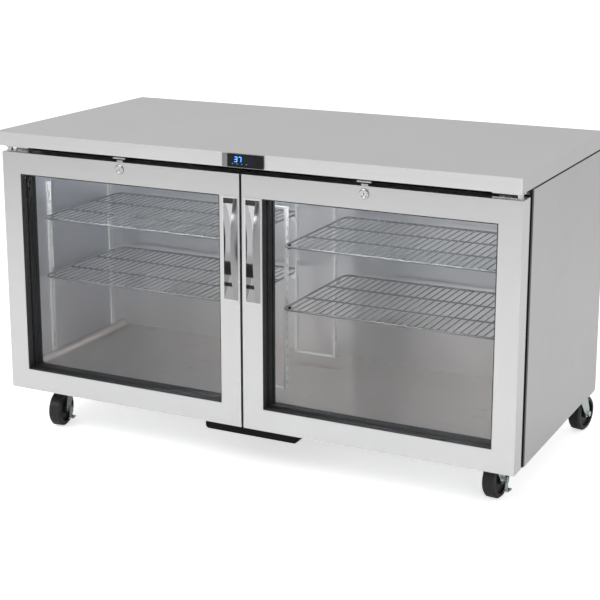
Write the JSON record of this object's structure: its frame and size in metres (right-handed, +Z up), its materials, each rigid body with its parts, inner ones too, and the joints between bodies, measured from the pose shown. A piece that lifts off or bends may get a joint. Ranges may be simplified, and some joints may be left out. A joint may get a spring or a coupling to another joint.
{
  "type": "reach in refrigerator",
  "caption": "Undercounter stainless reach-in refrigerator with glass swing doors, wire shelves, flat worktop, flush chrome pulls and swivel casters.",
  "frame": {"origin": "middle of the overall box, on the floor", "axes": "+X to the right along the worktop seen from the front, -Y out of the doors, +Z up"},
  "size_m": [1.534, 0.8178, 0.883],
  "materials": {
    "worktop_steel": "brushed stainless, satin",
    "panel_steel": "brushed stainless, satin",
    "door_steel": "brushed stainless, satin, horizontal grain",
    "galvanised": "galvanised steel",
    "foam": "rigid foam",
    "liner_aluminium": "satin",
    "liner_steel": "satin stainless",
    "black_frame": "satin black",
    "black_pan": "matte black",
    "grille_paint": "painted steel",
    "white_standard": "white coated",
    "grey_wire": "grey plastic coated wire",
    "lamp": "white diffuser",
    "bright_steel": "bright plated",
    "strike_steel": "satin",
    "display_black": "gloss black",
    "display_glass": "gloss dark window",
    "display_cap": "satin chrome",
    "coil_fin": "mill",
    "duct_aluminium": "mill",
    "motor": "black painted",
    "fan_blade": "moulded",
    "compressor_black": "gloss black",
    "copper": "copper tube",
    "box_grey": "painted",
    "pan_plastic": "moulded",
    "glass": "clear",
    "gasket_black": "soft vinyl",
    "handle_chrome": "polished",
    "lock_chrome": "polished",
    "zinc": "zinc plated",
    "wheel_black": "black polyurethane"
  },
  "bodies": {
    "cabinet": {"worktop": "worktop_steel", "side_panels": "panel_steel", "base_plate": "galvanised", "foam_insulation": "foam", "liner_walls": "liner_aluminium", "liner_floor": "liner_steel", "front_frame": "black_frame", "back_panel": "galvanised", "rear_grille": "grille_paint", "base_pan": "black_pan", "shelf_pilasters": "white_standard", "shelf_clips": "bright_steel", "shelf_lower_left": "grey_wire", "shelf_lower_right": "grey_wire", "shelf_upper_left": "grey_wire", "shelf_upper_right": "grey_wire", "light_bars": "lamp", "hinge_brackets": "bright_steel", "strike_plates": "strike_steel", "display_housing": "display_black", "display_window": "display_glass", "display_end_cap": "display_cap", "evaporator_cover": "duct_aluminium", "evaporator_coil": "coil_fin", "fan_motors": "motor", "condenser_coil": "coil_fin", "condenser_shroud": "grille_paint", "compressor": "compressor_black", "refrigerant_lines": "copper", "electrical_box": "box_grey", "condensate_pan": "pan_plastic", "caster_plates": "zinc"},
    "evaporator_fan_rotor": {"evaporator_fan": "fan_blade"},
    "condenser_fan_rotor": {"condenser_fan": "fan_blade"},
    "door_left": {"door_skin_left": "door_steel", "door_reveal_left": "black_frame", "door_glass_left": "glass", "door_gasket_left": "gasket_black", "door_handle_left": "handle_chrome", "door_hardware_left": "lock_chrome"},
    "plug_left": {"lock_plug_left": "lock_chrome"},
    "bolt_left": {"lock_bolt_left": "bright_steel"},
    "door_right": {"door_skin_right": "door_steel", "door_reveal_right": "black_frame", "door_glass_right": "glass", "door_gasket_right": "gasket_black", "door_handle_right": "handle_chrome", "door_hardware_right": "lock_chrome"},
    "plug_right": {"lock_plug_right": "lock_chrome"},
    "bolt_right": {"lock_bolt_right": "bright_steel"},
    "fork_front_left": {"caster_fork_front_left": "zinc"},
    "wheel_front_left": {"caster_wheel_front_left": "wheel_black"},
    "brake_front_left": {"caster_brake_front_left": "zinc"},
    "fork_front_right": {"caster_fork_front_right": "zinc"},
    "wheel_front_right": {"caster_wheel_front_right": "wheel_black"},
    "brake_front_right": {"caster_brake_front_right": "zinc"},
    "fork_rear_left": {"caster_fork_rear_left": "zinc"},
    "wheel_rear_left": {"caster_wheel_rear_left": "wheel_black"},
    "fork_rear_right": {"caster_fork_rear_right": "zinc"},
    "wheel_rear_right": {"caster_wheel_rear_right": "wheel_black"}
  },
  "joints": [
    {"name": "evaporator_fan_spin", "type": "hinge", "parent": "cabinet", "child": "evaporator_fan_rotor", "pos_m": [0, 0.00891, 0.772], "axis": [0, 1, 0], "continuous": true},
    {"name": "condenser_fan_spin", "type": "hinge", "parent": "cabinet", "child": "condenser_fan_rotor", "pos_m": [-0.5134, 0.25111, 0.259], "axis": [0, 1, 0], "continuous": true},
    {"name": "door_left_swing", "type": "hinge", "parent": "cabinet", "child": "door_left", "pos_m": [-0.748, -0.35789, 0.476], "axis": [0, 0, -1], "range_deg": [0, 120], "stiffness_Nm_per_rad": 1.5, "springref_deg": -14.32},
    {"name": "lock_left_turn", "type": "hinge", "parent": "door_left", "child": "plug_left", "pos_m": [-0.371, -0.37749, 0.803], "axis": [0, 1, 0], "range_deg": [0, 90]},
    {"name": "bolt_left_slide", "type": "slide", "parent": "door_left", "child": "bolt_left", "axis": [0, 0, 1], "range_m": [0, 0.008]},
    {"name": "door_right_swing", "type": "hinge", "parent": "cabinet", "child": "door_right", "pos_m": [0.748, -0.35789, 0.476], "axis": [0, 0, 1], "range_deg": [0, 120], "stiffness_Nm_per_rad": 1.5, "springref_deg": -14.32},
    {"name": "lock_right_turn", "type": "hinge", "parent": "door_right", "child": "plug_right", "pos_m": [0.351, -0.37749, 0.803], "axis": [0, 1, 0], "range_deg": [0, 90]},
    {"name": "bolt_right_slide", "type": "slide", "parent": "door_right", "child": "bolt_right", "axis": [0, 0, 1], "range_m": [0, 0.008]},
    {"name": "swivel_front_left", "type": "hinge", "parent": "cabinet", "child": "fork_front_left", "pos_m": [-0.662, -0.25789, 0.11], "axis": [0, 0, 1], "continuous": true},
    {"name": "wheel_front_left_roll", "type": "hinge", "parent": "fork_front_left", "child": "wheel_front_left", "pos_m": [-0.65627, -0.29039, 0.0508], "axis": [0.9848, 0.1736, 0], "continuous": true},
    {"name": "brake_front_left_press", "type": "hinge", "parent": "fork_front_left", "child": "brake_front_left", "pos_m": [-0.65627, -0.29039, 0.0508], "axis": [0.9848, 0.1736, 0], "range_deg": [0, 25]},
    {"name": "swivel_front_right", "type": "hinge", "parent": "cabinet", "child": "fork_front_right", "pos_m": [0.662, -0.25789, 0.11], "axis": [0, 0, 1], "continuous": true},
    {"name": "wheel_front_right_roll", "type": "hinge", "parent": "fork_front_right", "child": "wheel_front_right", "pos_m": [0.66545, -0.22507, 0.0508], "axis": [-0.9945, 0.1045, 0], "continuous": true},
    {"name": "brake_front_right_press", "type": "hinge", "parent": "fork_front_right", "child": "brake_front_right", "pos_m": [0.66545, -0.22507, 0.0508], "axis": [-0.9945, 0.1045, 0], "range_deg": [0, 25]},
    {"name": "swivel_rear_left", "type": "hinge", "parent": "cabinet", "child": "fork_rear_left", "pos_m": [-0.719, 0.32411, 0.11], "axis": [0, 0, 1], "continuous": true},
    {"name": "wheel_rear_left_roll", "type": "hinge", "parent": "fork_rear_left", "child": "wheel_rear_left", "pos_m": [-0.72188, 0.35698, 0.0508], "axis": [-0.9962, -0.0872, 0], "continuous": true},
    {"name": "swivel_rear_right", "type": "hinge", "parent": "cabinet", "child": "fork_rear_right", "pos_m": [0.719, 0.32411, 0.11], "axis": [0, 0, 1], "continuous": true},
    {"name": "wheel_rear_right_roll", "type": "hinge", "parent": "fork_rear_right", "child": "wheel_rear_right", "pos_m": [0.72473, 0.35661, 0.0508], "axis": [-0.9848, 0.1736, 0], "continuous": true}
  ],
  "couplings": [
    {"joint": "lock_left_turn", "follows": "bolt_left_slide", "rad_per_m": 196.3},
    {"joint": "lock_right_turn", "follows": "bolt_right_slide", "rad_per_m": 196.3}
  ]
}
